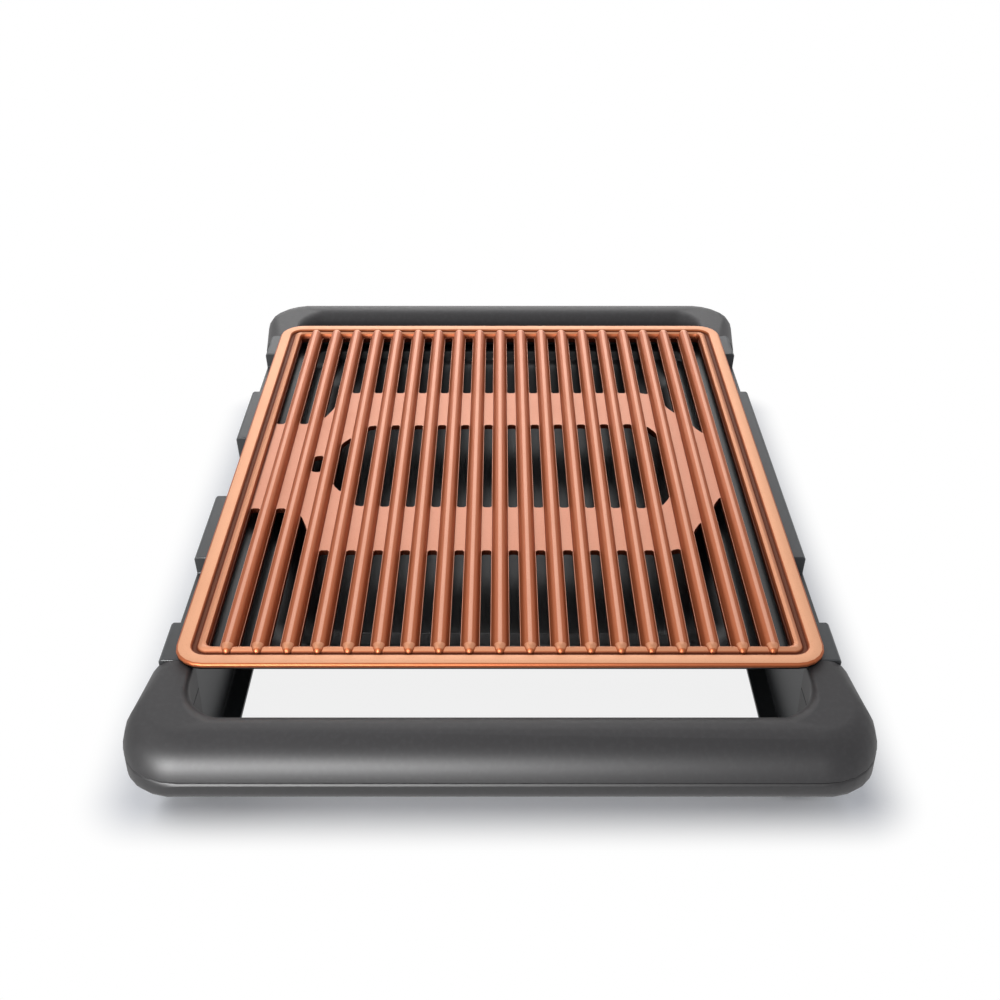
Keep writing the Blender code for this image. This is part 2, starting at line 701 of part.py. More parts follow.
def make_rail(name, sign, has_inlet, material, parent):
    end = PARTING_Y - TOUCH_GAP
    flange_top = FOOT_HEIGHT + RAIL_WALL
    section = (
        (rail_outer(FOOT_HEIGHT), FOOT_HEIGHT), (RAIL_OUTER_X, RAIL_TOP_Z - RAIL_EDGE),
        (RAIL_OUTER_X - RAIL_EDGE, RAIL_TOP_Z), (RAIL_INNER_X, RAIL_TOP_Z), (rail_inner(flange_top), flange_top),
        (LUG_INNER_X, flange_top), (LUG_INNER_X, FOOT_HEIGHT),
    )
    bm = bmesh.new()
    add_loft(bm, [[(sign * x, y, z) for x, z in section] for y in (-end, end)])
    rail = add_object(name, bm, material, parent)
    use_boolean(rail, seat_prism(f"{name}_seat", parent), "DIFFERENCE")

    inside, outside = LUG_INNER_X, RAIL_OUTER_X + CUT_OVERRUN
    across = sorted((sign * inside, sign * outside))
    notch_z = RAIL_TOP_Z - NOTCH_DEPTH
    inlet_z = RAIL_TOP_Z - INLET_DEPTH
    openings = bmesh.new()
    for start, stop in notch_spans():
        add_box(openings, (across[0], start, notch_z), (across[1], stop, RAIL_TOP_Z + CUT_OVERRUN))
    if has_inlet:
        add_box(
            openings,
            (across[0], -INLET_HALF_WIDTH, inlet_z),
            (across[1], INLET_HALF_WIDTH, RAIL_TOP_Z + CUT_OVERRUN),
        )
    use_boolean(rail, add_object(f"{name}_openings", openings, parent=parent), "DIFFERENCE")

    ceiling = SEAT_Z - RAIL_WALL
    (near_start, near_stop), (far_start, far_stop) = notch_spans()
    middle = INLET_HALF_WIDTH + RAIL_WALL
    spans = (
        (-end + RAIL_END_WALL, near_start - RAIL_WALL, ceiling),
        (near_start, near_stop, notch_z - RAIL_WALL),
        (near_stop + RAIL_WALL, -middle, ceiling),
        (-middle + RAIL_WALL, middle - RAIL_WALL, (inlet_z if has_inlet else SEAT_Z) - RAIL_WALL),
        (middle, far_start - RAIL_WALL, ceiling),
        (far_start, far_stop, notch_z - RAIL_WALL),
        (far_stop + RAIL_WALL, end - RAIL_END_WALL, ceiling),
    )
    hollows = bmesh.new()
    low = FOOT_HEIGHT - CUT_OVERRUN
    for start, stop, top in spans:
        outline = (
            (rail_outer(low) - RAIL_WALL, low), (rail_outer(top) - RAIL_WALL, top),
            (rail_inner(top) + RAIL_WALL, top), (rail_inner(low) + RAIL_WALL, low),
        )
        add_loft(hollows, [[(sign * x, y, z) for x, z in outline] for y in (start, stop)])
    use_boolean(rail, add_object(f"{name}_hollows", hollows, parent=parent), "DIFFERENCE")

    holes = bmesh.new()
    for end_sign in (-1, 1):
        place = (sign * tie_screw_x(), end_sign * (PARTING_Y - TIE_SCREW_SETBACK))
        radius = SHELL_SCREW_DIAMETER / 2 + HOLE_CLEARANCE
        add_round(holes, place, radius, FOOT_HEIGHT - CUT_OVERRUN, flange_top + CUT_OVERRUN)
    use_boolean(rail, add_object(f"{name}_holes", holes, parent=parent), "DIFFERENCE")


# Handles, drawn at the front and turned round for the back

def handle_stations():
    """Places along the right half, from the bar to the arm's end: inner and outer point, and how far it is an arm."""
    inner_x, outer_x = ARM_INNER_X, HANDLE_HALF_X
    inner_radius, outer_radius = SLOT_CORNER_RADIUS, HANDLE_CORNER_RADIUS
    stations = []
    for step in range(HANDLE_CORNER_STEPS + 1):
        share = step / HANDLE_CORNER_STEPS
        angle = math.pi / 2 * share
        across, along = 1 - math.sin(angle), 1 - math.cos(angle)
        inner = Vector((inner_x - inner_radius * across, -BAR_INNER_Y + inner_radius * along))
        outer = Vector((outer_x - outer_radius * across, -BAR_OUTER_Y + outer_radius * along))
        stations.append((inner, outer, share))
    arm_start_inner, arm_start_outer, _ = stations[-1]
    arm_end_inner, arm_end_outer = Vector((ARM_INNER_X, -PARTING_Y)), Vector((ARM_OUTER_X, -PARTING_Y))
    for share in ARM_STATION_SHARES:
        inner = arm_start_inner.lerp(arm_end_inner, share)
        outer = arm_start_outer.lerp(arm_end_outer, share)
        stations.append((inner, outer, 1.0))
    return stations


def both_halves(stations):
    mirrored = [(Vector((-a.x, a.y)), Vector((-b.x, b.y)), share) for a, b, share in reversed(stations)]
    return mirrored + stations


def quarter(centre, radii, first, last, steps):
    return [
        (centre[0] + radii[0] * math.cos(blend(first, last, step / steps)),
         centre[1] + radii[1] * math.sin(blend(first, last, step / steps)))
        for step in range(steps + 1)
    ]


def top_outline(width, share, inset, steps):
    """From the inner edge of the parting over the crown to its outer edge, as (across, up from the parting)."""
    rise = BAR_HEIGHT / 2 - inset
    edge = max(blend(BAR_INNER_EDGE, ARM_INNER_EDGE, share) - inset, LEAST_EDGE)
    crown = blend(BAR_CROWN_RUN, ARM_CROWN_RUN, share) - inset
    inner = quarter((inset + edge, rise - edge), (edge, edge), math.pi, math.pi / 2, steps[0])
    outer = quarter((width - inset - crown, 0), (crown, rise), math.pi / 2, 0, steps[1])
    return [(inset, 0)] + inner + outer


def bottom_outline(width, share, depth, inset, steps):
    """The same below the parting, down to a foot of the given depth."""
    fall = depth - inset
    edge = max(blend(BAR_INNER_EDGE, ARM_INNER_EDGE, share) - inset, LEAST_EDGE)
    keel = blend(BAR_CROWN_RUN, ARM_FOOT_EDGE, share) - inset
    drop = blend(BAR_HEIGHT / 2 - ARM_INNER_EDGE / 2, ARM_FOOT_EDGE, share) - inset
    inner = quarter((inset + edge, edge - fall), (edge, edge), math.pi, 3 * math.pi / 2, steps[0])
    outer = quarter((width - inset - keel, drop - fall), (keel, drop), -math.pi / 2, 0, steps[1])
    return [(inset, 0)] + inner + outer + [(width - inset, 0)]


def leg_depth(y):
    """How far the lower shell reaches below the parting where its front is at y."""
    share = (y + BAR_OUTER_Y - LEG_START_SETBACK) / LEG_LENGTH
    return blend(PARTING_Z - BAR_BOTTOM_Z, PARTING_Z - FOOT_HEIGHT, ease(share))


def shell_ring(inner, outer, outside, inside, start_z):
    along = (outer - inner).normalized()
    points = []
    for across, up in outside + list(reversed(inside)):
        place = inner + along * across
        points.append((place.x, place.y, start_z + up))
    return points


def trim_parting(outline, direction):
    """Cut the outer parting edge, which leaves the fine groove between the shells."""
    across, up = outline[-1]
    return outline[:-1] + [(across, up + direction * PARTING_EDGE), (across - PARTING_EDGE, up)]


def make_handle(end_name, material, parent):
    stations = both_halves(handle_stations())
    top_rings, bottom_rings = [], []
    for inner, outer, share in stations:
        width = (outer - inner).length
        outside = trim_parting(top_outline(width, share, 0, OUTSIDE_STEPS), 1)
        inside = top_outline(width, share, SHELL_WALL, INSIDE_STEPS)
        top_rings.append(shell_ring(inner, outer, outside, inside, PARTING_Z + TOUCH_GAP / 2))
        depth = leg_depth(outer.y)
        outside = trim_parting(bottom_outline(width, share, depth, 0, OUTSIDE_STEPS), -1)
        inside = bottom_outline(width, share, depth, SHELL_WALL, INSIDE_STEPS)
        bottom_rings.append(shell_ring(inner, outer, outside, inside, PARTING_Z - TOUCH_GAP / 2))

    top_mesh, bottom_mesh = bmesh.new(), bmesh.new()
    add_loft(top_mesh, top_rings)
    add_loft(bottom_mesh, bottom_rings)
    top = add_object(f"{end_name}_handle_top", top_mesh, material, parent)
    bottom = add_object(f"{end_name}_handle_bottom", bottom_mesh, material, parent)

    boss_radius = SHELL_SCREW_DIAMETER / 2 + HOLE_CLEARANCE + BOSS_WALL
    head_radius = SCREW_HEAD_DIAMETER / 2 + HOLE_CLEARANCE
    hole_radius = SHELL_SCREW_DIAMETER / 2 + HOLE_CLEARANCE
    meet = BAR_BOTTOM_Z + BOSS_RISE
    seat = meet - BOSS_SEAT_WEB
    screw_tip = seat + SHELL_SCREW_LENGTH
    steel, rubber = material_of("screw_steel"), material_of("foot_rubber")
    top_boss, top_hole, low_boss, low_bore, low_hole, tab = (bmesh.new() for _ in range(6))
    for index, share in enumerate(BAR_SCREW_SHARES):
        place = (share * HANDLE_HALF_X, -BAR_MID_Y)
        add_round(top_boss, place, boss_radius, meet + TOUCH_GAP, RAIL_TOP_Z - SHELL_WALL + JOIN_DEPTH)
        add_round(top_hole, place, hole_radius, meet - CUT_OVERRUN, screw_tip + HOLE_CLEARANCE)
        add_round(low_boss, place, head_radius + BOSS_WALL, BAR_BOTTOM_Z + SHELL_WALL - JOIN_DEPTH, meet)
        add_round(low_bore, place, head_radius, BAR_BOTTOM_Z - CUT_OVERRUN, seat)
        add_round(low_hole, place, hole_radius, seat - JOIN_DEPTH, meet + CUT_OVERRUN)
        add_screw(f"{end_name}_handle_screw_{index + 1}", place, seat, SHELL_SCREW_LENGTH, steel, parent)
    use_boolean(top, add_object(f"{end_name}_top_bosses", top_boss, parent=parent), "UNION")
    use_boolean(top, add_object(f"{end_name}_top_holes", top_hole, parent=parent), "DIFFERENCE")
    use_boolean(top, seat_prism(f"{end_name}_handle_seat", None), "DIFFERENCE")

    lug_outer = ARM_INNER_X + SHELL_WALL / 2
    lug_top = FOOT_HEIGHT + LUG_DEPTH
    tab_low = FOOT_HEIGHT + RAIL_WALL + TOUCH_GAP
    tab_in = LUG_INNER_X + TAB_SIDE_GAP
    tab_out = RAIL_INNER_X - INNER_WALL_LEAN - TAB_SIDE_GAP
    for index, side in enumerate((-1, 1)):
        across = sorted((side * LUG_INNER_X, side * lug_outer))
        add_box(low_boss, (across[0], -PARTING_Y - LUG_FRONT, FOOT_HEIGHT), (across[1], -PARTING_Y, lug_top))
        across = sorted((side * tab_in, side * tab_out))
        add_box(tab, (across[0], -PARTING_Y - JOIN_DEPTH, tab_low), (across[1], TAB_LENGTH - PARTING_Y, lug_top))
        place = (side * tie_screw_x(), TIE_SCREW_SETBACK - PARTING_Y)
        add_round(low_hole, place, hole_radius, tab_low - CUT_OVERRUN, lug_top + CUT_OVERRUN)
        add_screw(f"{end_name}_tie_screw_{index + 1}", place, FOOT_HEIGHT, TIE_SCREW_LENGTH, steel, parent)
        place = (side * foot_x(), -FOOT_SETBACK - PARTING_Y)
        add_round(low_hole, place, FOOT_STEM_DIAMETER / 2 + HOLE_CLEARANCE, FOOT_HEIGHT - CUT_OVERRUN,
                  FOOT_HEIGHT + SHELL_WALL + CUT_OVERRUN)
        add_foot(f"{end_name}_foot_{index + 1}", place, rubber, parent)
    use_boolean(bottom, add_object(f"{end_name}_lugs", low_boss, parent=parent), "UNION")
    use_boolean(bottom, add_object(f"{end_name}_tabs", tab, parent=parent), "UNION")
    use_boolean(bottom, add_object(f"{end_name}_head_bores", low_bore, parent=parent), "DIFFERENCE")
    use_boolean(bottom, add_object(f"{end_name}_bottom_holes", low_hole, parent=parent), "DIFFERENCE")


# Fasteners and feet

def tie_screw_x():
    return (LUG_INNER_X + RAIL_INNER_X - INNER_WALL_LEAN) / 2


def foot_x():
    return (ARM_INNER_X + ARM_OUTER_X) / 2


def screw_mesh(length, diameter):
    """A pan-head screw that points up, with its head's seat at its own origin."""
    head, radius = SCREW_HEAD_DIAMETER / 2, diameter / 2
    low = -SCREW_HEAD_HEIGHT - TOUCH_GAP
    side = low + SCREW_HEAD_HEIGHT * HEAD_SIDE_SHARE
    profile = (
        (0, low), (head * HEAD_CROWN_SHARE, low), (head, side), (head, -TOUCH_GAP),
        (radius, -TOUCH_GAP), (radius, length - radius), (0, length),
    )
    return turned(profile, SCREW_SIDES)


def add_screw(name, place, seat, length, material, parent, diameter=SHELL_SCREW_DIAMETER):
    add_object(name, screw_mesh(length, diameter), material, parent, (*place, seat))


def add_foot(name, place, material, parent):
    radius, stem = FOOT_DIAMETER / 2, FOOT_STEM_DIAMETER / 2
    top = FOOT_HEIGHT - TOUCH_GAP
    profile = (
        (0, 0), (radius - FOOT_TAPER, 0), (radius, FOOT_TAPER), (radius, top), (stem, top),
        (stem, top + FOOT_STEM_LENGTH), (0, top + FOOT_STEM_LENGTH),
    )
    add_object(name, turned(profile, FOOT_SIDES), material, parent, (*place, 0))


def material_of(name):
    return bpy.data.materials[name]


# The whole grill

clear_scene()
make_material("handle_plastic", (0.075, 0.070, 0.072), 0.48)
make_material("rail_plastic", (0.085, 0.088, 0.095), 0.50)
make_material("tray_enamel", (0.012, 0.012, 0.014), 0.18, coat=0.4)
make_material("copper_nonstick", (0.64, 0.27, 0.13), 0.38, metallic=0.35)
make_material("element_steel", (0.16, 0.15, 0.14), 0.45, metallic=0.9)
make_material("pin_steel", (0.62, 0.61, 0.58), 0.25, metallic=1.0)
make_material("ceramic", (0.82, 0.80, 0.74), 0.55)
make_material("guard_steel", (0.55, 0.55, 0.54), 0.35, metallic=1.0)
make_material("screw_steel", (0.35, 0.35, 0.36), 0.35, metallic=1.0)
make_material("foot_rubber", (0.02, 0.02, 0.02), 0.85)

base = add_empty("base_frame")
tray_carrier = add_empty("tray_carrier", (0, 0, TRAY_TOP_Z), base)
plate_carrier = add_empty("plate_carrier", (0, 0, PLATE_TOP_Z - TRAY_TOP_Z), tray_carrier)

make_rail("left_side_rail", -1, True, material_of("rail_plastic"), base)
make_rail("right_side_rail", 1, False, material_of("rail_plastic"), base)
make_handle("front", material_of("handle_plastic"), add_empty("front_end", parent=base))
make_handle("rear", material_of("handle_plastic"), add_empty("rear_end", parent=base, turn=(0, 0, math.pi)))
make_tray(material_of("tray_enamel"), tray_carrier)
make_plate(material_of("copper_nonstick"), plate_carrier)
make_element(material_of("element_steel"), plate_carrier)
make_terminals(material_of("pin_steel"), material_of("ceramic"), plate_carrier)
make_guard(material_of("guard_steel"), plate_carrier)
for screw_index, screw_side in enumerate((-1, 1)):
    add_screw(
        f"guard_screw_{screw_index + 1}", (guard_screw_x(), screw_side * guard_screw_y()),
        WEB_UNDER_Z - TOUCH_GAP - GUARD_SHEET, GUARD_SCREW_GRIP + GUARD_SHEET, material_of("screw_steel"),
        plate_carrier, GUARD_SCREW_DIAMETER
    )
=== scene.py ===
import json
import math

import bmesh
import bpy
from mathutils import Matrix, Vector

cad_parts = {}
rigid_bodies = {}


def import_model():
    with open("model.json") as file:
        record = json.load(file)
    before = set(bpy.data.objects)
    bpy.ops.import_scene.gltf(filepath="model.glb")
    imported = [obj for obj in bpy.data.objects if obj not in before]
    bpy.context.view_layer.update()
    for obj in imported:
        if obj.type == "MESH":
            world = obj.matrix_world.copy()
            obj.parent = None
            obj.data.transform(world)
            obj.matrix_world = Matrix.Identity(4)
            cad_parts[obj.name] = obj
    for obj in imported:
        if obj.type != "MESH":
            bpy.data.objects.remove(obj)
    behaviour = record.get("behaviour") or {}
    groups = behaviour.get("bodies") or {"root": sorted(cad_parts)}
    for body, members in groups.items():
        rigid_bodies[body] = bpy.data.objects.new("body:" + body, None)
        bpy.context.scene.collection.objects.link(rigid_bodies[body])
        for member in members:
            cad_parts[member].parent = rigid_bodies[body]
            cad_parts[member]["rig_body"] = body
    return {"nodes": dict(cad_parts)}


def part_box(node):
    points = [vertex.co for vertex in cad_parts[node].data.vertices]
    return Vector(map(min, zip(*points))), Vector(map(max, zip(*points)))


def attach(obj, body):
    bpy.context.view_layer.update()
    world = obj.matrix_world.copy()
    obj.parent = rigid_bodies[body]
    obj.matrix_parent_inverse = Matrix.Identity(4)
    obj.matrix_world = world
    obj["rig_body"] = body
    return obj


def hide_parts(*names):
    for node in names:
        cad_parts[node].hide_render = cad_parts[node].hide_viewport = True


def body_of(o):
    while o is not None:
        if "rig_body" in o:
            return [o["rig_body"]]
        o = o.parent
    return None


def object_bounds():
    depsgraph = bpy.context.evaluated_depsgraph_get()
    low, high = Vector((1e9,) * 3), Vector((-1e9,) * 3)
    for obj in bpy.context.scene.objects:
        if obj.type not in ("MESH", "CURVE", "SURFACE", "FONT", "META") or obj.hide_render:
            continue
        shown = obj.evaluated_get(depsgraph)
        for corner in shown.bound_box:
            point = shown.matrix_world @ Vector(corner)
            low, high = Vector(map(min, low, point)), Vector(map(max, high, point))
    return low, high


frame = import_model()
cadLow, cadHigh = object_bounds()
print("frame loaded")


# Small helpers for working as by hand

def pickOnly(item):
    if bpy.context.mode != "OBJECT":
        bpy.ops.object.mode_set(mode="OBJECT")
    bpy.ops.object.select_all(action="DESELECT")
    item.select_set(True)
    bpy.context.view_layer.objects.active = item


def openMesh(item):
    pickOnly(item)
    bpy.ops.object.mode_set(mode="EDIT")


def closeMesh():
    bpy.ops.object.mode_set(mode="OBJECT")


def settle(item):
    # puts the place, turn and size of an object into its mesh
    pickOnly(item)
    bpy.ops.object.transform_apply(location=True, rotation=True, scale=True)


def smooth(item, degrees):
    pickOnly(item)
    bpy.ops.object.shade_smooth_by_angle(angle=math.radians(degrees))


def smoothMoulded(item, degrees):
    # smooth at the rounded edges, with the large faces still shaded flat
    smooth(item, degrees)
    weigh = item.modifiers.new("weigh", "WEIGHTED_NORMAL")
    weigh.keep_sharp = True
    applyAll(item)


def dress(item, finish):
    item.data.materials.clear()
    item.data.materials.append(finish)


def applyAll(item):
    pickOnly(item)
    for name in [modifier.name for modifier in item.modifiers]:
        bpy.ops.object.modifier_apply(modifier=name)


nearness = {"merged": 0.00001, "level": 0.0001}  # metres within which points are one, or equally high
bends = {"flat": 0.4, "pair": 20, "pairShape": 170}  # degrees up to which faces are joined


def cleanCopy(nodeName, pieceName, flatten=True):
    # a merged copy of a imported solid; flatten makes its flat faces whole again
    piece = bpy.data.objects.new(pieceName, frame["nodes"][nodeName].data.copy())
    bpy.context.scene.collection.objects.link(piece)
    openMesh(piece)
    bpy.ops.mesh.select_all(action="SELECT")
    bpy.ops.mesh.customdata_custom_splitnormals_clear()
    bpy.ops.mesh.remove_doubles(threshold=nearness["merged"])
    if flatten:
        bpy.ops.mesh.dissolve_limited(angle_limit=math.radians(bends["flat"]))
    bpy.ops.mesh.normals_make_consistent(inside=False)
    closeMesh()
    return piece


def quadCopy(nodeName, pieceName):
    # a merged copy whose triangles are paired up again, so that its loops run on
    piece = cleanCopy(nodeName, pieceName, flatten=False)
    openMesh(piece)
    bpy.ops.mesh.select_all(action="SELECT")
    bpy.ops.mesh.tris_convert_to_quads(
        face_threshold=math.radians(bends["pair"]), shape_threshold=math.radians(bends["pairShape"])
    )
    closeMesh()
    return piece


def softenSharp(piece, width, steps, degrees):
    bevel = piece.modifiers.new("edges", "BEVEL")
    bevel.width = width
    bevel.segments = steps
    bevel.limit_method = "ANGLE"
    bevel.angle_limit = math.radians(degrees)
    bevel.miter_outer = "MITER_ARC"
    bevel.use_clamp_overlap = False  # one short edge would thin all the others
    applyAll(piece)


def softenEdges(piece, isWanted, width, steps, wholeLoops=False):
    # rounds off the edges that isWanted picks, and with wholeLoops those that run on from them
    openMesh(piece)
    bpy.ops.mesh.select_mode(type="EDGE")
    bpy.ops.mesh.select_all(action="DESELECT")
    mesh = bmesh.from_edit_mesh(piece.data)
    for edge in mesh.edges:
        edge.select = edge.is_manifold and isWanted(edge)
    bmesh.update_edit_mesh(piece.data)
    if wholeLoops:
        bpy.ops.mesh.loop_multi_select(ring=False)
    bpy.ops.mesh.bevel(offset=width, segments=steps, affect="EDGES", clamp_overlap=False)
    bpy.ops.mesh.select_mode(type="VERT")
    closeMesh()


def pickFaces(piece, way, least=0.9):
    # picks the faces of an open mesh whose normals have at least this share along a direction
    bpy.ops.mesh.select_mode(type="FACE")
    bpy.ops.mesh.select_all(action="DESELECT")
    mesh = bmesh.from_edit_mesh(piece.data)
    for face in mesh.faces:
        face.select = face.normal.dot(Vector(way)) > least
    bmesh.update_edit_mesh(piece.data)


def pullOut(way):
    bpy.ops.mesh.extrude_region_move(TRANSFORM_OT_translate={"value": way})


def standFor(piece, nodeName, finish):
    dress(piece, finish)
    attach(piece, body_of(frame["nodes"][nodeName])[0])
    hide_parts(nodeName)


# Shader maths: an expression on wires adds its nodes

class Wire:
    def __init__(self, graph, socket):
        self.graph = graph
        self.socket = socket

    def maths(self, operation, first, second=0.0):
        return self.graph.node("ShaderNodeMath", {"operation": operation}, {0: first, 1: second})

    def __add__(self, other):
        return self.maths("ADD", self, other)

    def __radd__(self, other):
        return self.maths("ADD", other, self)

    def __sub__(self, other):
        return self.maths("SUBTRACT", self, other)

    def __rsub__(self, other):
        return self.maths("SUBTRACT", other, self)

    def __mul__(self, other):
        return self.maths("MULTIPLY", self, other)

    def __pow__(self, other):
        return self.maths("POWER", self, other)

    def size(self):
        return self.maths("ABSOLUTE", self)

    def least(self, other):
        return self.maths("MINIMUM", self, other)

    def most(self, other):
        return self.maths("MAXIMUM", self, other)

    def ramp(self, start, stop):
        # 0 at start and 1 at stop, eased
        values = {"Value": self, "From Min": start, "From Max": stop, "To Min": 0.0, "To Max": 1.0}
        return self.graph.node("ShaderNodeMapRange", {"interpolation_type": "SMOOTHSTEP"}, values)

    def within(self, start, stop, edge):
        return self.ramp(start - edge, start + edge) * (1 - self.ramp(stop - edge, stop + edge))


class Graph:
    def __init__(self, tree):
        self.tree = tree

    def node(self, kind, settings=None, inputs=None, output=0):
        made = self.tree.nodes.new(kind)
        for key, value in (settings or {}).items():
            setattr(made, key, value)
        for key, value in (inputs or {}).items():
            self.feed(made.inputs[key], value)
        return Wire(self, made.outputs[output])

    def feed(self, socket, value):
        if isinstance(value, Wire):
            self.tree.links.new(value.socket, socket)
        else:
            socket.default_value = value


class Finish(Graph):
    def __init__(self, name, **values):
        self.material = bpy.data.materials.new(name)
        self.material.use_nodes = True
        super().__init__(self.material.node_tree)
        self.shader = self.tree.nodes["Principled BSDF"]
        for socketName, value in values.items():
            self.send(socketName, value)
        self.place = self.node("ShaderNodeTexCoord", output="Object")

    def send(self, socketName, value):
        self.feed(self.shader.inputs[socketName], value)

    def noise(self, scale, detail=3.0, roughness=0.5, place=None):
        inputs = {"Vector": place or self.place, "Scale": scale, "Detail": detail, "Roughness": roughness}
        return self.node("ShaderNodeTexNoise", None, inputs)

    def stretched(self, scale):
        return self.node("ShaderNodeMapping", None, {"Vector": self.place, "Scale": scale})

    def axis(self, letter, source=None):
        return self.node("ShaderNodeSeparateXYZ", None, {0: source or self.place}, letter)

    def facing(self, letter):
        return self.axis(letter, self.node("ShaderNodeNewGeometry", output="Normal"))

    def mixed(self, share, first, second):
        colours = [value if isinstance(value, Wire) else (*value, 1.0) for value in (first, second)]
        return self.node("ShaderNodeMix", {"data_type": "RGBA"}, {0: share, 6: colours[0], 7: colours[1]}, 2)

    def bump(self, height, strength, distance):
        self.send("Normal", self.node(
            "ShaderNodeBump", None, {"Height": height, "Strength": strength, "Distance": distance}
        ))


plateLow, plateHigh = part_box("grill_plate")
plateMiddle = (plateLow + plateHigh) / 2

copper = {
    "pale": (0.66, 0.310, 0.205),  # flats: webs, flange and the backs of the ribs, paler as a painted highlight where faces turn up
    "warm": (0.76, 0.385, 0.222),  # the flange's share of a yellower tone, also laid on the frame bead's top as a painted highlight
    "flank": (0.43, 0.118, 0.042),  # steep sides, darker as painted shade; also the darker random tone of cloud and grain
    "deep": (0.085, 0.016, 0.006),  # painted shade in the moat, at the ribs' feet, at the frame's foot and on the slot walls
    # under: faces turned down, darker as painted shade
    "under": (0.40, 0.13, 0.06),
    "metallic": 0.50,
    "refraction": 1.3,
    "roughness": 0.41,
    "roughened": {"grain": 0.10, "cloud": 0.05, "moat": 0.15},
    "bump": (0.10, 0.00012),
    "grain": (1500, 2.0),  # scale and detail
    "cloud": (16, 4.0),
    "grainShows": (0.56, 0.72),
    "cloudShows": (0.45, 0.75),
    "ribRise": 0.0022,
    "webDrop": 0.0034,
    "cornerRadius": 0.016,
    # insets from the rim: start, stop and the softness of both
    "moat": (0.0074, 0.0110, 0.0004),
    "band": (0.0112, 0.0150, 0.0003),
    "frameFoot": (0.0150, 0.0163, 0.0004),
    "warmFades": (0.006, 0.017),
    # heights over which a painted shade ends, from the foot of the ribs' raised backs
    "footTop": -0.0010,
    "moatTop": (-0.0016, -0.0002),
    "frameFootTop": (-0.0028, -0.0012),
    "wallBelowWeb": (0.0009, 0.0002),
    # how far up a face looks where it turns flat and takes the painted highlight, bears the band's painted
    # highlight, or turns over into the painted shade underneath
    "flatFacing": (0.960, 0.9985),
    "bandFacing": (0.3, 0.7),
    "underFacing": (-0.6, -0.3),
    # how much each mark shows: the painted shades foot, frameFoot, moat and wall, the band's painted
    # highlight, and the random cloud and grain
    "shares": {
        "foot": 0.45, "band": 0.6, "frameFoot": 0.8, "moat": 0.9, "wall": 0.85, "cloud": 0.10, "grain": 0.20,
    },
}


def rimInset(finish):
    # how far in from the plate's rounded rim a point is
    halfX, halfY, radius = plateHigh.x, plateHigh.y, copper["cornerRadius"]
    across = (finish.axis("X") - plateMiddle.x).size() - (halfX - radius)
    along = (finish.axis("Y") - plateMiddle.y).size() - (halfY - radius)
    beyond = (across.most(0.0) ** 2 + along.most(0.0) ** 2) ** 0.5
    return radius - beyond - across.most(along).least(0.0)


def makeCopper():
    finish = Finish("copperCoating", Metallic=copper["metallic"], IOR=copper["refraction"])
    shares, roughened, webTop = copper["shares"], copper["roughened"], -copper["webDrop"]
    height = finish.axis("Z") - (plateHigh.z - copper["ribRise"])
    up = finish.facing("Z")
    inset = rimInset(finish)
    grain = finish.noise(*copper["grain"])
    cloud = finish.noise(*copper["cloud"])
    # painted light: faces turned up take the pale tone, steeper faces the darker flank tone
    flat = up.ramp(*copper["flatFacing"])
    pale = finish.mixed(1 - inset.ramp(*copper["warmFades"]), copper["pale"], copper["warm"])
    colour = finish.mixed(flat, copper["flank"], pale)
    # painted shade: the lower parts of steep faces at the ribs' feet darken to the deep tone
    foot = (1 - height.ramp(webTop, copper["footTop"])) * (1 - flat)
    colour = finish.mixed(foot * shares["foot"], colour, copper["deep"])
    # painted highlight: the frame bead's faces turned up take the lighter, yellower warm tone
    band = inset.within(*copper["band"]) * up.ramp(*copper["bandFacing"])
    colour = finish.mixed(band * shares["band"], colour, copper["warm"])
    # painted shade in the moat and at the frame's foot
    moat = inset.within(*copper["moat"]) * (1 - height.ramp(*copper["moatTop"]))
    frameFoot = inset.within(*copper["frameFoot"]) * (1 - height.ramp(*copper["frameFootTop"]))
    hollow = moat.most(frameFoot * shares["frameFoot"])
    colour = finish.mixed(hollow * shares["moat"], colour, copper["deep"])
    # painted shade on the slot walls below the web
    wall = 1 - height.ramp(webTop - copper["wallBelowWeb"][0], webTop - copper["wallBelowWeb"][1])
    colour = finish.mixed(wall * shares["wall"], colour, copper["deep"])
    # painted shade: faces turned down darken to the under tone
    colour = finish.mixed(1 - up.ramp(*copper["underFacing"]), colour, copper["under"])
    clouded = cloud.ramp(*copper["cloudShows"]) * shares["cloud"]
    colour = finish.mixed(clouded, colour, copper["flank"])
    grained = grain.ramp(*copper["grainShows"]) * shares["grain"]
    finish.send("Base Color", finish.mixed(grained, colour, copper["flank"]))
    rough = copper["roughness"] + grain * roughened["grain"] + cloud * roughened["cloud"]
    finish.send("Roughness", rough + moat * roughened["moat"])
    finish.bump(grain, *copper["bump"])
    return finish.material


enamel = {
    "colour": (0.008, 0.0085, 0.0096),
    "dust": (0.020, 0.020, 0.021),
    "rim": (0.24, 0.21, 0.21),  # lighter along the roll's top: a painted highlight, patchy by the smear noise
    "rimDepth": 0.00045,
    "refraction": 1.38,
    "roughness": 0.24,
    "roughened": {"smear": 0.12, "dust": 0.04},
    "bump": (0.05, 0.0004),
    "peelGrain": (160, 2.0),  # scale and detail
    "dustGrain": (900, 3.0),
    "smearGrain": (11, 3.0),
    "dustShows": (0.6, 0.8),
    "dustShare": 0.3,
    "rimShows": (0.2, 0.6),
}


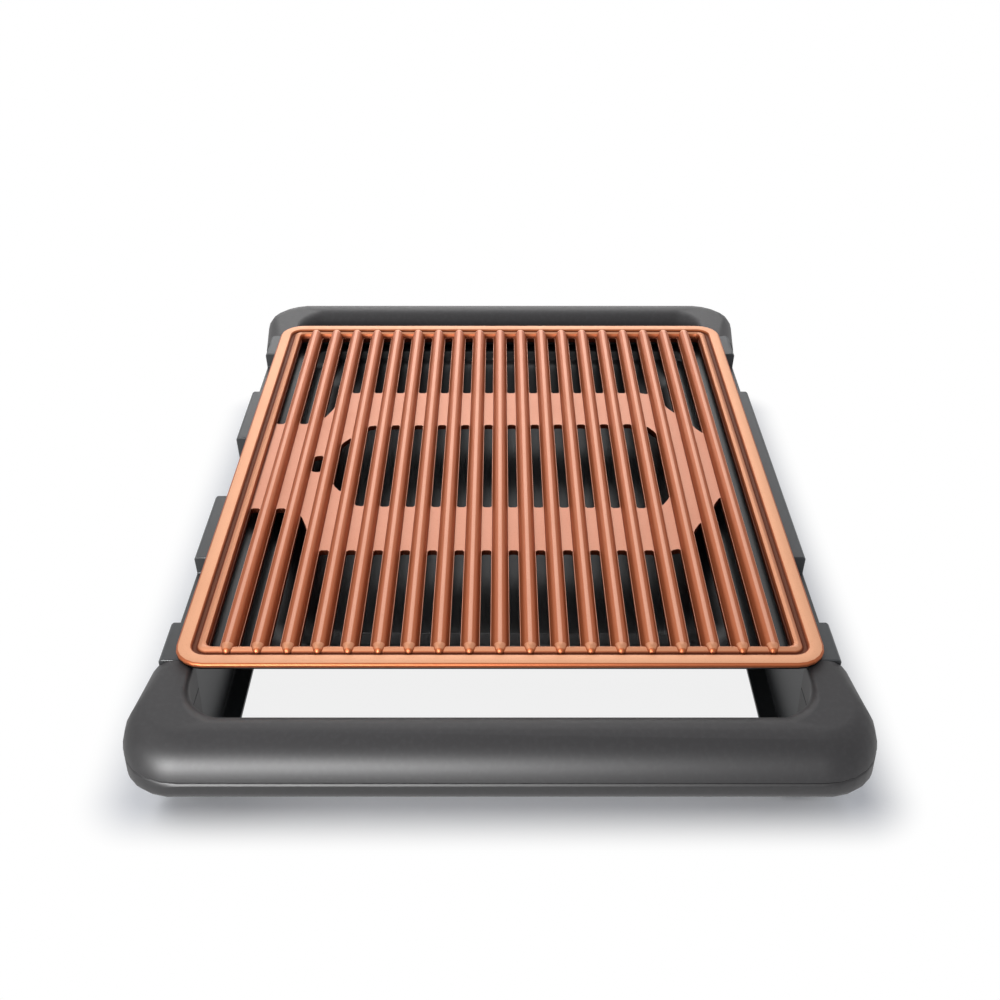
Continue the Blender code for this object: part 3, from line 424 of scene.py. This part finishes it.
def makeEnamel():
    finish = Finish("blackEnamel", IOR=enamel["refraction"])
    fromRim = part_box("drip_tray")[1].z - finish.axis("Z")
    peel = finish.noise(*enamel["peelGrain"])
    dust = finish.noise(*enamel["dustGrain"])
    smear = finish.noise(*enamel["smearGrain"])
    dusted = dust.ramp(*enamel["dustShows"]) * enamel["dustShare"]
    colour = finish.mixed(dusted, enamel["colour"], enamel["dust"])
    # painted highlight: the roll's top lightens to the rim tone in smeared patches
    roll = 1 - fromRim.ramp(enamel["rimDepth"] / 2, enamel["rimDepth"])
    finish.send("Base Color", finish.mixed(roll * smear.ramp(*enamel["rimShows"]), colour, enamel["rim"]))
    roughened = enamel["roughened"]
    finish.send("Roughness", enamel["roughness"] + smear * roughened["smear"] + dust * roughened["dust"])
    finish.bump(peel, *enamel["bump"])
    return finish.material


# Plain finishes: each noise has a scale, and may tint, roughen or raise the surface

handlePlastic = {
    "shader": {"IOR": 1.43},
    "colour": (0.030, 0.028, 0.029),
    "tint": (0.048, 0.045, 0.047),
    "roughness": 0.44,
    "bump": (0.22, 0.0001),
    "noises": (
        {"scale": 2400, "detail": 2.0, "harshness": 0.6, "roughens": 0.14, "raises": 1.0},
        {"scale": 330, "tints": 0.35, "shows": (0.42, 0.75), "raises": 0.6},
        {"scale": 18, "tints": 0.25, "shows": (0.4, 0.8), "roughens": 0.05},
    ),
}
railPlastic = {
    "shader": {"IOR": 1.44},
    "colour": (0.044, 0.047, 0.050),
    "tint": (0.062, 0.065, 0.069),
    "roughness": 0.36,
    "bump": (0.16, 0.0001),
    "noises": (
        {"scale": 2100, "detail": 2.0, "harshness": 0.6, "roughens": 0.12, "raises": 1.0},
        {"scale": 22, "tints": 0.4, "shows": (0.4, 0.8), "roughens": 0.06},
    ),
}
sheath = {
    "shader": {"Metallic": 0.85},
    "colour": (0.085, 0.075, 0.068),
    "tint": (0.05, 0.055, 0.075),  # blued by heat
    "roughness": 0.38,
    "bump": (0.12, 0.0001),
    "noises": (
        {"scale": 26, "tints": 1.0, "shows": (0.4, 0.65)},
        {"scale": 1300, "detail": 2.0, "roughens": 0.16, "raises": 1.0},
    ),
}
ceramic = {
    "shader": {},
    "colour": (0.78, 0.75, 0.68),
    "tint": (0.60, 0.56, 0.48),
    "roughness": 0.55,
    "bump": (0.12, 0.00008),
    "noises": ({"scale": 700, "tints": 0.3, "shows": (0.5, 0.75), "raises": 1.0},),
}
rubber = {
    "shader": {},
    "colour": (0.014, 0.014, 0.014),
    "tint": (0.035, 0.034, 0.033),
    "roughness": 0.72,
    "bump": (0.2, 0.0001),
    "noises": ({"scale": 1200, "tints": 0.4, "shows": (0.4, 0.7), "roughens": 0.18, "raises": 1.0},),
}


def drawnSteel(colour, roughness, drawn):
    # bare steel, with fine lines along the axis that drawn squeezes
    return {
        "shader": {"Metallic": 1.0},
        "colour": colour,
        "tint": [channel * 0.72 for channel in colour],
        "roughness": roughness,
        "bump": (0.08, 0.00008),
        "noises": (
            {
                "scale": 900, "detail": 2.0, "drawn": drawn,
                "tints": 0.5, "shows": (0.4, 0.7), "roughens": 0.12, "raises": 1.0,
            },
            {"scale": 60, "roughens": 0.08},
        ),
    }


def makePlain(name, look):
    finish = Finish(name, **look["shader"])
    tint, height, roughness = 0.0, 0.0, look["roughness"]
    for noise in look["noises"]:
        place = finish.stretched(noise["drawn"]) if "drawn" in noise else None
        spots = finish.noise(noise["scale"], noise.get("detail", 3.0), noise.get("harshness", 0.5), place)
        if "tints" in noise:
            tint = tint + spots.ramp(*noise["shows"]) * noise["tints"]
        if "roughens" in noise:
            roughness = roughness + spots * noise["roughens"]
        if "raises" in noise:
            height = height + spots * noise["raises"]
    finish.send("Base Color", finish.mixed(tint, look["colour"], look["tint"]))
    finish.send("Roughness", roughness)
    finish.bump(height, *look["bump"])
    return finish.material


finishes = {
    "copper": makeCopper(),
    "enamel": makeEnamel(),
    "handle": makePlain("handlePlastic", handlePlastic),
    "rail": makePlain("railPlastic", railPlastic),
    "sheath": makePlain("elementSheath", sheath),
    "pin": makePlain("pinSteel", drawnSteel((0.66, 0.64, 0.60), 0.20, (0.1, 1.0, 1.0))),
    "guard": makePlain("guardSteel", drawnSteel((0.52, 0.52, 0.51), 0.28, (1.0, 0.06, 1.0))),
    "screw": makePlain("screwSteel", drawnSteel((0.36, 0.36, 0.37), 0.30, (1.0, 1.0, 0.2))),
    "ceramic": makePlain("ceramic", ceramic),
    "rubber": makePlain("footRubber", rubber),
}
print("finishes made")


# Grill plate: the casting with softened rim edges, and a round-backed rib over each of its bars

casting = {"edge": 0.0003, "edgeSteps": 2, "rimInset": 0.0112, "leastBend": 20, "smoothAngle": 42}
ribs = {
    "count": 19,
    "fieldInset": 0.0157,
    "slotWidth": 0.0056,
    "slotMargin": 0.0002,
    "footStep": 0.00012,
    "topShare": 0.57,  # of the foot's width, before the back is rounded
    "backRound": 0.0022,
    "backSteps": 6,
    "rise": 0.00576,
    "embed": 0.0004,
    "noseStart": 0.0168,
    "nose": (  # inset from the plate's end, and shares of the width and the height
        (0.0148, 0.97, 0.99), (0.0130, 0.87, 0.95), (0.0115, 0.68, 0.86),
        (0.0104, 0.47, 0.70), (0.0098, 0.26, 0.48),
    ),
    "smoothAngle": 55,
}


def makeCasting():
    piece = cleanCopy("grill_plate", "plateCasting", flatten=False)

    def isRimEdge(edge):
        middle = (edge.verts[0].co + edge.verts[1].co) / 2
        inset = min(plateHigh.x - abs(middle.x), plateHigh.y - abs(middle.y))
        return inset < casting["rimInset"] and edge.calc_face_angle() > math.radians(casting["leastBend"])

    softenEdges(piece, isRimEdge, casting["edge"], casting["edgeSteps"])
    smooth(piece, casting["smoothAngle"])
    standFor(piece, "grill_plate", finishes["copper"])


def growNose(rib, direction, middleX, webTop):
    # draws the end out in steps that narrow and sink, like a boat's bow
    pickFaces(rib, (0, direction, 0))
    y, width, height = direction * (plateHigh.y - ribs["noseStart"]), 1.0, 1.0
    for inset, newWidth, newHeight in ribs["nose"]:
        newY = direction * (plateHigh.y - inset)
        pullOut((0, newY - y, 0))
        bpy.ops.transform.resize(
            value=(newWidth / width, 1, newHeight / height), center_override=(middleX, newY, webTop)
        )
        y, width, height = newY, newWidth, newHeight


def makeRib():
    halfField = plateHigh.x - ribs["fieldInset"]
    pitch = 2 * (halfField - ribs["slotMargin"] - ribs["slotWidth"] / 2) / ribs["count"]
    width = pitch - ribs["slotWidth"] - 2 * ribs["footStep"]
    length = 2 * (plateHigh.y - ribs["noseStart"])
    webTop = plateHigh.z - copper["ribRise"] - copper["webDrop"]
    firstX = -(ribs["count"] - 1) / 2 * pitch
    bpy.ops.object.select_all(action="DESELECT")
    bpy.ops.mesh.primitive_cube_add(
        size=1, location=(firstX, 0, webTop + ribs["rise"] / 2), scale=(width, length, ribs["rise"])
    )
    rib = bpy.context.active_object
    settle(rib)
    openMesh(rib)
    pickFaces(rib, (0, 0, 1))
    bpy.ops.transform.resize(value=(ribs["topShare"], 1, 1), center_override=(firstX, 0, webTop))
    pickFaces(rib, (0, 0, -1))
    bpy.ops.transform.translate(value=(0, 0, -ribs["embed"]))
    closeMesh()

    def isTopEdge(edge):
        lowest = min(vert.co.z for vert in edge.verts)
        return lowest > webTop + ribs["rise"] / 2 and edge.calc_length() > length / 2

    softenEdges(rib, isTopEdge, ribs["backRound"], ribs["backSteps"])
    openMesh(rib)
    for direction in (-1, 1):
        growNose(rib, direction, firstX, webTop)
    bpy.ops.mesh.select_all(action="SELECT")
    bpy.ops.mesh.normals_make_consistent(inside=False)
    closeMesh()
    return rib, pitch


def makeRibs():
    rib, pitch = makeRib()
    row = [rib]
    for index in range(1, ribs["count"]):
        pickOnly(rib)
        bpy.ops.object.duplicate_move(TRANSFORM_OT_translate={"value": (index * pitch, 0, 0)})
        row.append(bpy.context.active_object)
    for item in row:
        item.select_set(True)
    bpy.context.view_layer.objects.active = rib
    bpy.ops.object.join()
    bars = bpy.context.active_object
    bars.name = "plateRibs"
    settle(bars)
    smooth(bars, ribs["smoothAngle"])
    dress(bars, finishes["copper"])
    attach(bars, "plate")


makeCasting()
makeRibs()
print("plate made")


# Drip tray: the pressed pan, with its folds rolled over

pan = {
    "folds": (  # insets between which a fold runs, the width of its rounding, and its steps
        (0.0050, 0.0120, 0.0014, 3), (0.0185, 0.0240, 0.0013, 3), (0.0330, 0.0355, 0.0070, 6),
        (0.0580, 0.0603, 0.0014, 3), (0.0612, 0.0640, 0.0014, 3),
    ),
    "smoothAngle": 50,
}


def roundFold(piece, trayHigh, nearest, farthest, width, steps):
    # the fold's straight edges are picked, and followed round the corners

    def isFoldEdge(edge):
        first, second = edge.verts[0].co, edge.verts[1].co
        middle = (first + second) / 2
        inset = min(trayHigh.x - abs(middle.x), trayHigh.y - abs(middle.y))
        level = abs(first.z - second.z) < nearness["level"]
        straight = min(abs(first.x - second.x), abs(first.y - second.y)) < nearness["level"]
        long = edge.calc_length() > 2 * farthest
        return level and straight and long and nearest < inset < farthest

    softenEdges(piece, isFoldEdge, width, steps, wholeLoops=True)


def makePan():
    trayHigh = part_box("drip_tray")[1]
    piece = quadCopy("drip_tray", "trayPan")
    for fold in pan["folds"]:
        roundFold(piece, trayHigh, *fold)
    smooth(piece, pan["smoothAngle"])
    standFor(piece, "drip_tray", finishes["enamel"])


makePan()
print("tray made")


# Base: rails and handle shells, with their moulded edges softened

rail = {"edge": (0.0007, 3, 35), "smoothAngle": 40}  # the edge's width, its steps, and the least bend
shell = {"edge": (0.0003, 2, 50), "smoothAngle": 45}


def makeRails():
    for nodeName, pieceName in (("left_side_rail", "leftRail"), ("right_side_rail", "rightRail")):
        piece = cleanCopy(nodeName, pieceName)
        softenSharp(piece, *rail["edge"])
        smoothMoulded(piece, rail["smoothAngle"])
        standFor(piece, nodeName, finishes["rail"])


def makeHandles():
    for end in ("front", "rear"):
        for half, pieceHalf in (("top", "Top"), ("bottom", "Bottom")):
            piece = cleanCopy(f"{end}_handle_{half}", f"{end}Handle{pieceHalf}")
            softenSharp(piece, *shell["edge"])
            smoothMoulded(piece, shell["smoothAngle"])
            standFor(piece, f"{end}_handle_{half}", finishes["handle"])


makeRails()
makeHandles()
print("base made")


# Element and terminals

terminals = {  # each with its piece, finish, slot and the width of its edges
    "sensor_sleeve": ("sensorSleeve", "pin", "pin_steel", 0.0002),
    "terminal_pin_front": ("frontPin", "pin", "pin_steel", 0.0003),
    "terminal_pin_rear": ("rearPin", "pin", "pin_steel", 0.0003),
    "terminal_insulator_front": ("frontInsulator", "ceramic", "ceramic", 0.0003),
    "terminal_insulator_rear": ("rearInsulator", "ceramic", "ceramic", 0.0003),
    "terminal_guard": ("terminalGuard", "guard", "guard_steel", 0.00025),
}
terminalEdge = {"steps": 2, "leastBend": 40, "smoothAngle": 40}
tube = {"rounding": 2, "swell": 0.00055, "smoothAngle": 60}


def makeElement():
    piece = quadCopy("heating_element", "elementTube")
    rounder = piece.modifiers.new("rounder", "SUBSURF")
    rounder.levels = tube["rounding"]
    rounder.render_levels = tube["rounding"]
    swell = piece.modifiers.new("swell", "DISPLACE")
    swell.mid_level = 0
    swell.strength = tube["swell"]
    applyAll(piece)
    smooth(piece, tube["smoothAngle"])
    standFor(piece, "heating_element", finishes["sheath"])


def makeTerminals():
    for nodeName, (pieceName, finish, slotName, edge) in terminals.items():
        piece = cleanCopy(nodeName, pieceName)
        softenSharp(piece, edge, terminalEdge["steps"], terminalEdge["leastBend"])
        smoothMoulded(piece, terminalEdge["smoothAngle"])
        standFor(piece, nodeName, finishes[finish])


makeElement()
makeTerminals()
print("element made")


# Screws with a cross recess, and rubber feet

screw = {
    "head": 0.0060,
    "headHeight": 0.0019,
    "shank": 0.0030,
    "sides": 32,
    "crown": 0.0009,
    "crownSteps": 4,
    "threadPitch": 0.0009,
    "threadRoot": 0.86,
    "tipShare": 0.15,
    "recessLength": 0.0034,
    "recessWidth": 0.0009,
    "recessDepth": 0.0011,
    "smoothAngle": 35,
}
screwKinds = {"_handle_screw_": "handleScrew", "_tie_screw_": "tieScrew", "guard_screw_": "guardScrew"}
foot = {
    "diameter": 0.0150,
    "height": 0.0077,
    "sides": 48,
    "stem": 0.0050,
    "edge": 0.0010,
    "edgeSteps": 4,
    "dimple": 0.0105,
    "dimpleDepth": 0.0008,
    "flat": 0.9999,  # leaves out the rounded edge
    "smoothAngle": 40,
}


def isBottomRing(edge):
    return max(vert.co.z for vert in edge.verts) < nearness["level"]


def addTurned(sides, diameter, height):
    # a round blank that stands on the origin
    bpy.ops.object.select_all(action="DESELECT")
    bpy.ops.mesh.primitive_cylinder_add(
        vertices=sides, radius=diameter / 2, depth=height, location=(0, 0, height / 2)
    )
    item = bpy.context.active_object
    settle(item)
    return item


def cutRecess(item):
    size = (screw["recessLength"], screw["recessWidth"], 2 * screw["recessDepth"])
    for turn in (0, math.pi / 2):
        bpy.ops.object.select_all(action="DESELECT")
        bpy.ops.mesh.primitive_cube_add(size=1, rotation=(0, 0, turn), scale=size)
        cutter = bpy.context.active_object
        settle(cutter)
        cut = item.modifiers.new("recess", "BOOLEAN")
        cut.operation = "DIFFERENCE"
        cut.solver = "EXACT"
        cut.object = cutter
        applyAll(item)
        bpy.data.objects.remove(cutter)


def makeScrew(length):
    # stands on its head at the origin, and its shank grows up in threads
    item = addTurned(screw["sides"], screw["head"], screw["headHeight"])
    softenEdges(item, isBottomRing, screw["crown"], screw["crownSteps"])
    openMesh(item)
    pickFaces(item, (0, 0, 1))
    bpy.ops.mesh.inset(thickness=(screw["head"] - screw["shank"]) / 2)
    turns = int((length - screw["headHeight"] - screw["shank"] / 2) / screw["threadPitch"])
    for turn in range(turns):
        for size in (screw["threadRoot"], 1 / screw["threadRoot"]):
            pullOut((0, 0, screw["threadPitch"] / 2))
            bpy.ops.transform.resize(value=(size, size, 1), center_override=(0, 0, 0))
    pullOut((0, 0, length - screw["headHeight"] - turns * screw["threadPitch"]))
    bpy.ops.transform.resize(value=(screw["tipShare"], screw["tipShare"], 1), center_override=(0, 0, 0))
    closeMesh()
    cutRecess(item)
    smooth(item, screw["smoothAngle"])
    return item


def makeFoot():
    # a rubber button with a soft edge and a shallow dimple, and the stem that holds it
    low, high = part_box("front_foot_1")
    item = addTurned(foot["sides"], foot["diameter"], foot["height"])
    softenEdges(item, isBottomRing, foot["edge"], foot["edgeSteps"])
    openMesh(item)
    pickFaces(item, (0, 0, 1))
    bpy.ops.mesh.inset(thickness=(foot["diameter"] - foot["stem"]) / 2)
    pullOut((0, 0, high.z - low.z - foot["height"]))
    pickFaces(item, (0, 0, -1), foot["flat"])
    bpy.ops.mesh.inset(thickness=(foot["diameter"] - foot["dimple"]) / 2 - foot["edge"])
    bpy.ops.mesh.inset(thickness=foot["dimpleDepth"], depth=-foot["dimpleDepth"])
    closeMesh()
    smooth(item, foot["smoothAngle"])
    return item


def placeCopies(item, nodeNames, pieceName, finish):
    for index, nodeName in enumerate(nodeNames):
        low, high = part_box(nodeName)
        pickOnly(item)
        bpy.ops.object.duplicate_move(
            TRANSFORM_OT_translate={"value": ((low.x + high.x) / 2, (low.y + high.y) / 2, low.z)}
        )
        copy = bpy.context.active_object
        copy.name = f"{pieceName}{index + 1}"
        settle(copy)
        standFor(copy, nodeName, finish)
    bpy.data.objects.remove(item)


def makeFasteners():
    names = sorted(frame["nodes"])
    for kind, pieceName in screwKinds.items():
        nodeNames = [name for name in names if kind in name]
        low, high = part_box(nodeNames[0])
        placeCopies(makeScrew(high.z - low.z), nodeNames, pieceName, finishes["screw"])
    feet = [name for name in names if "_foot_" in name]
    placeCopies(makeFoot(), feet, "rubberFoot", finishes["rubber"])


makeFasteners()
print("fasteners made")


# Floor, lights and camera

studio = {
    "white": (1, 1, 1, 1),
    "floorSize": 30,
    "floorColour": (0.93, 0.94, 0.96, 1),
    "floorRoughness": 0.9,
    "footprint": (0.183, 0.2645),  # half the width and half the length of the grill
    "nearGlow": 0.06,  # how much of the backdrop's white the floor shows beside the grill
    "slotGlow": 0.80,  # and how much more within its base, as painted light over the base's shade
    "slotAcross": (0.86, 1.0),  # shares of the half width over which that glow ends
    "slotAlong": (0.58, 0.72),  # and of the half length
    "barLine": 0.212,  # how far along the floor lies hidden behind the front bar
    "shadowFades": (0.002, 0.042),  # from there out to plain white
    "skyColour": (0.90, 0.93, 1.0, 1),
    "skyStrength": 0.5,
}


def makeFloor():
    bpy.ops.object.select_all(action="DESELECT")
    bpy.ops.mesh.primitive_plane_add(size=studio["floorSize"], location=(0, 0, cadLow.z))
    floor = bpy.context.active_object
    floor.name = "studioFloor"
    finish = Finish("floorPaint", Roughness=studio["floorRoughness"])
    finish.send("Base Color", studio["floorColour"])
    white = finish.node("ShaderNodeEmission", None, {"Color": studio["white"], "Strength": 1.0})
    seen = finish.node("ShaderNodeLightPath", output="Is Camera Ray")
    mirrored = finish.node("ShaderNodeLightPath", output="Is Glossy Ray")
    across, along = studio["footprint"]
    sideways = finish.axis("X").size() * (1 / across)
    lengthways = finish.axis("Y").size() * (1 / along)
    # the floor glows white under the base: painted light in place of the shade there
    within = (1 - sideways.ramp(*studio["slotAcross"])) * (1 - lengthways.ramp(*studio["slotAlong"]))
    glow = studio["nearGlow"] + within * studio["slotGlow"]
    outAcross = (finish.axis("X").size() - across).most(0.0)
    outAlong = (finish.axis("Y").size() - studio["barLine"]).most(0.0)
    outside = (outAcross ** 2 + outAlong ** 2) ** 0.5
    share = seen.most(mirrored) * glow.most(outside.ramp(*studio["shadowFades"]))
    painted = Wire(finish, finish.shader.outputs[0])
    both = finish.node("ShaderNodeMixShader", None, {0: share, 1: painted, 2: white})
    clear = finish.node("ShaderNodeBsdfTransparent")
    fromBelow = seen * finish.node("ShaderNodeNewGeometry", output="Backfacing")
    shown = finish.node("ShaderNodeMixShader", None, {0: fromBelow, 1: both, 2: clear})
    finish.feed(finish.tree.nodes["Material Output"].inputs["Surface"], shown)
    dress(floor, finish.material)


def makeSky():
    # lights softly, and shows white to the camera, in reflections and through clear things
    world = bpy.data.worlds.new("studioSky")
    bpy.context.scene.world = world
    world.use_nodes = True
    sky = Graph(world.node_tree)
    sky.tree.nodes.clear()
    output = sky.tree.nodes.new("ShaderNodeOutputWorld")
    light = sky.node(
        "ShaderNodeBackground", None, {"Color": studio["skyColour"], "Strength": studio["skyStrength"]}
    )
    white = sky.node("ShaderNodeBackground", None, {"Color": studio["white"]})
    shown = sky.node("ShaderNodeLightPath", output="Is Camera Ray")
    for rayKind in ("Is Glossy Ray", "Is Transmission Ray"):
        shown = shown.most(sky.node("ShaderNodeLightPath", output=rayKind))
    sky.feed(output.inputs["Surface"], sky.node("ShaderNodeMixShader", None, {0: shown, 1: light, 2: white}))


lamps = {
    "low": {"place": (-0.40, -0.84, 0.21), "aim": (-0.16, -0.25, -0.02), "size": (0.60, 0.34), "watts": 3.0},
    "back": {"place": (0, 1.30, 0.95), "aim": (0, 0, 0.08), "size": (1.1, 0.5), "watts": 3.4},
    "left": {"place": (-0.75, 0.05, 1.20), "aim": (0, 0, 0.05), "size": (0.9, 0.9), "watts": 4.2},
    "slope": {"place": (-0.10, 0.95, 0.28), "aim": (0, -0.20, 0.06), "size": (0.9, 0.16), "watts": 0.32},
}
sheenOnly = {"low": 34, "slope": 70}  # lamps that show only as a sheen, and the beam of each


def makeLamps():
    for name, lamp in lamps.items():
        bpy.ops.object.light_add(type="AREA", location=lamp["place"])
        item = bpy.context.active_object
        item.name = f"{name}Lamp"
        item.data.shape = "RECTANGLE"
        item.data.size, item.data.size_y = lamp["size"]
        item.data.energy = lamp["watts"]
        item.data.spread = math.radians(sheenOnly.get(name, 180))
        item.visible_camera = False
        item.visible_diffuse = name not in sheenOnly
        item.rotation_mode = "QUATERNION"
        item.rotation_quaternion = (Vector(lamp["aim"]) - Vector(lamp["place"])).to_track_quat("-Z", "Y")


photoCamera = {
    "lens": 46.8,
    "sensor": 36,
    "nearest": 0.01,
    "place": (0, -0.7096, 0.4940),
    "downward": 32.02,  # degrees below level
}


def makeCamera():
    data = bpy.data.cameras.new("photoCamera")
    data.lens = photoCamera["lens"]
    data.sensor_width = photoCamera["sensor"]
    data.clip_start = photoCamera["nearest"]
    camera = bpy.data.objects.new("photoCamera", data)
    camera.location = photoCamera["place"]
    camera.rotation_euler = (math.radians(90 - photoCamera["downward"]), 0, 0)
    bpy.context.scene.collection.objects.link(camera)
    bpy.context.scene.camera = camera


makeFloor()
makeSky()
makeLamps()
makeCamera()
bpy.context.scene.view_settings.view_transform = "Standard"
print("studio made")
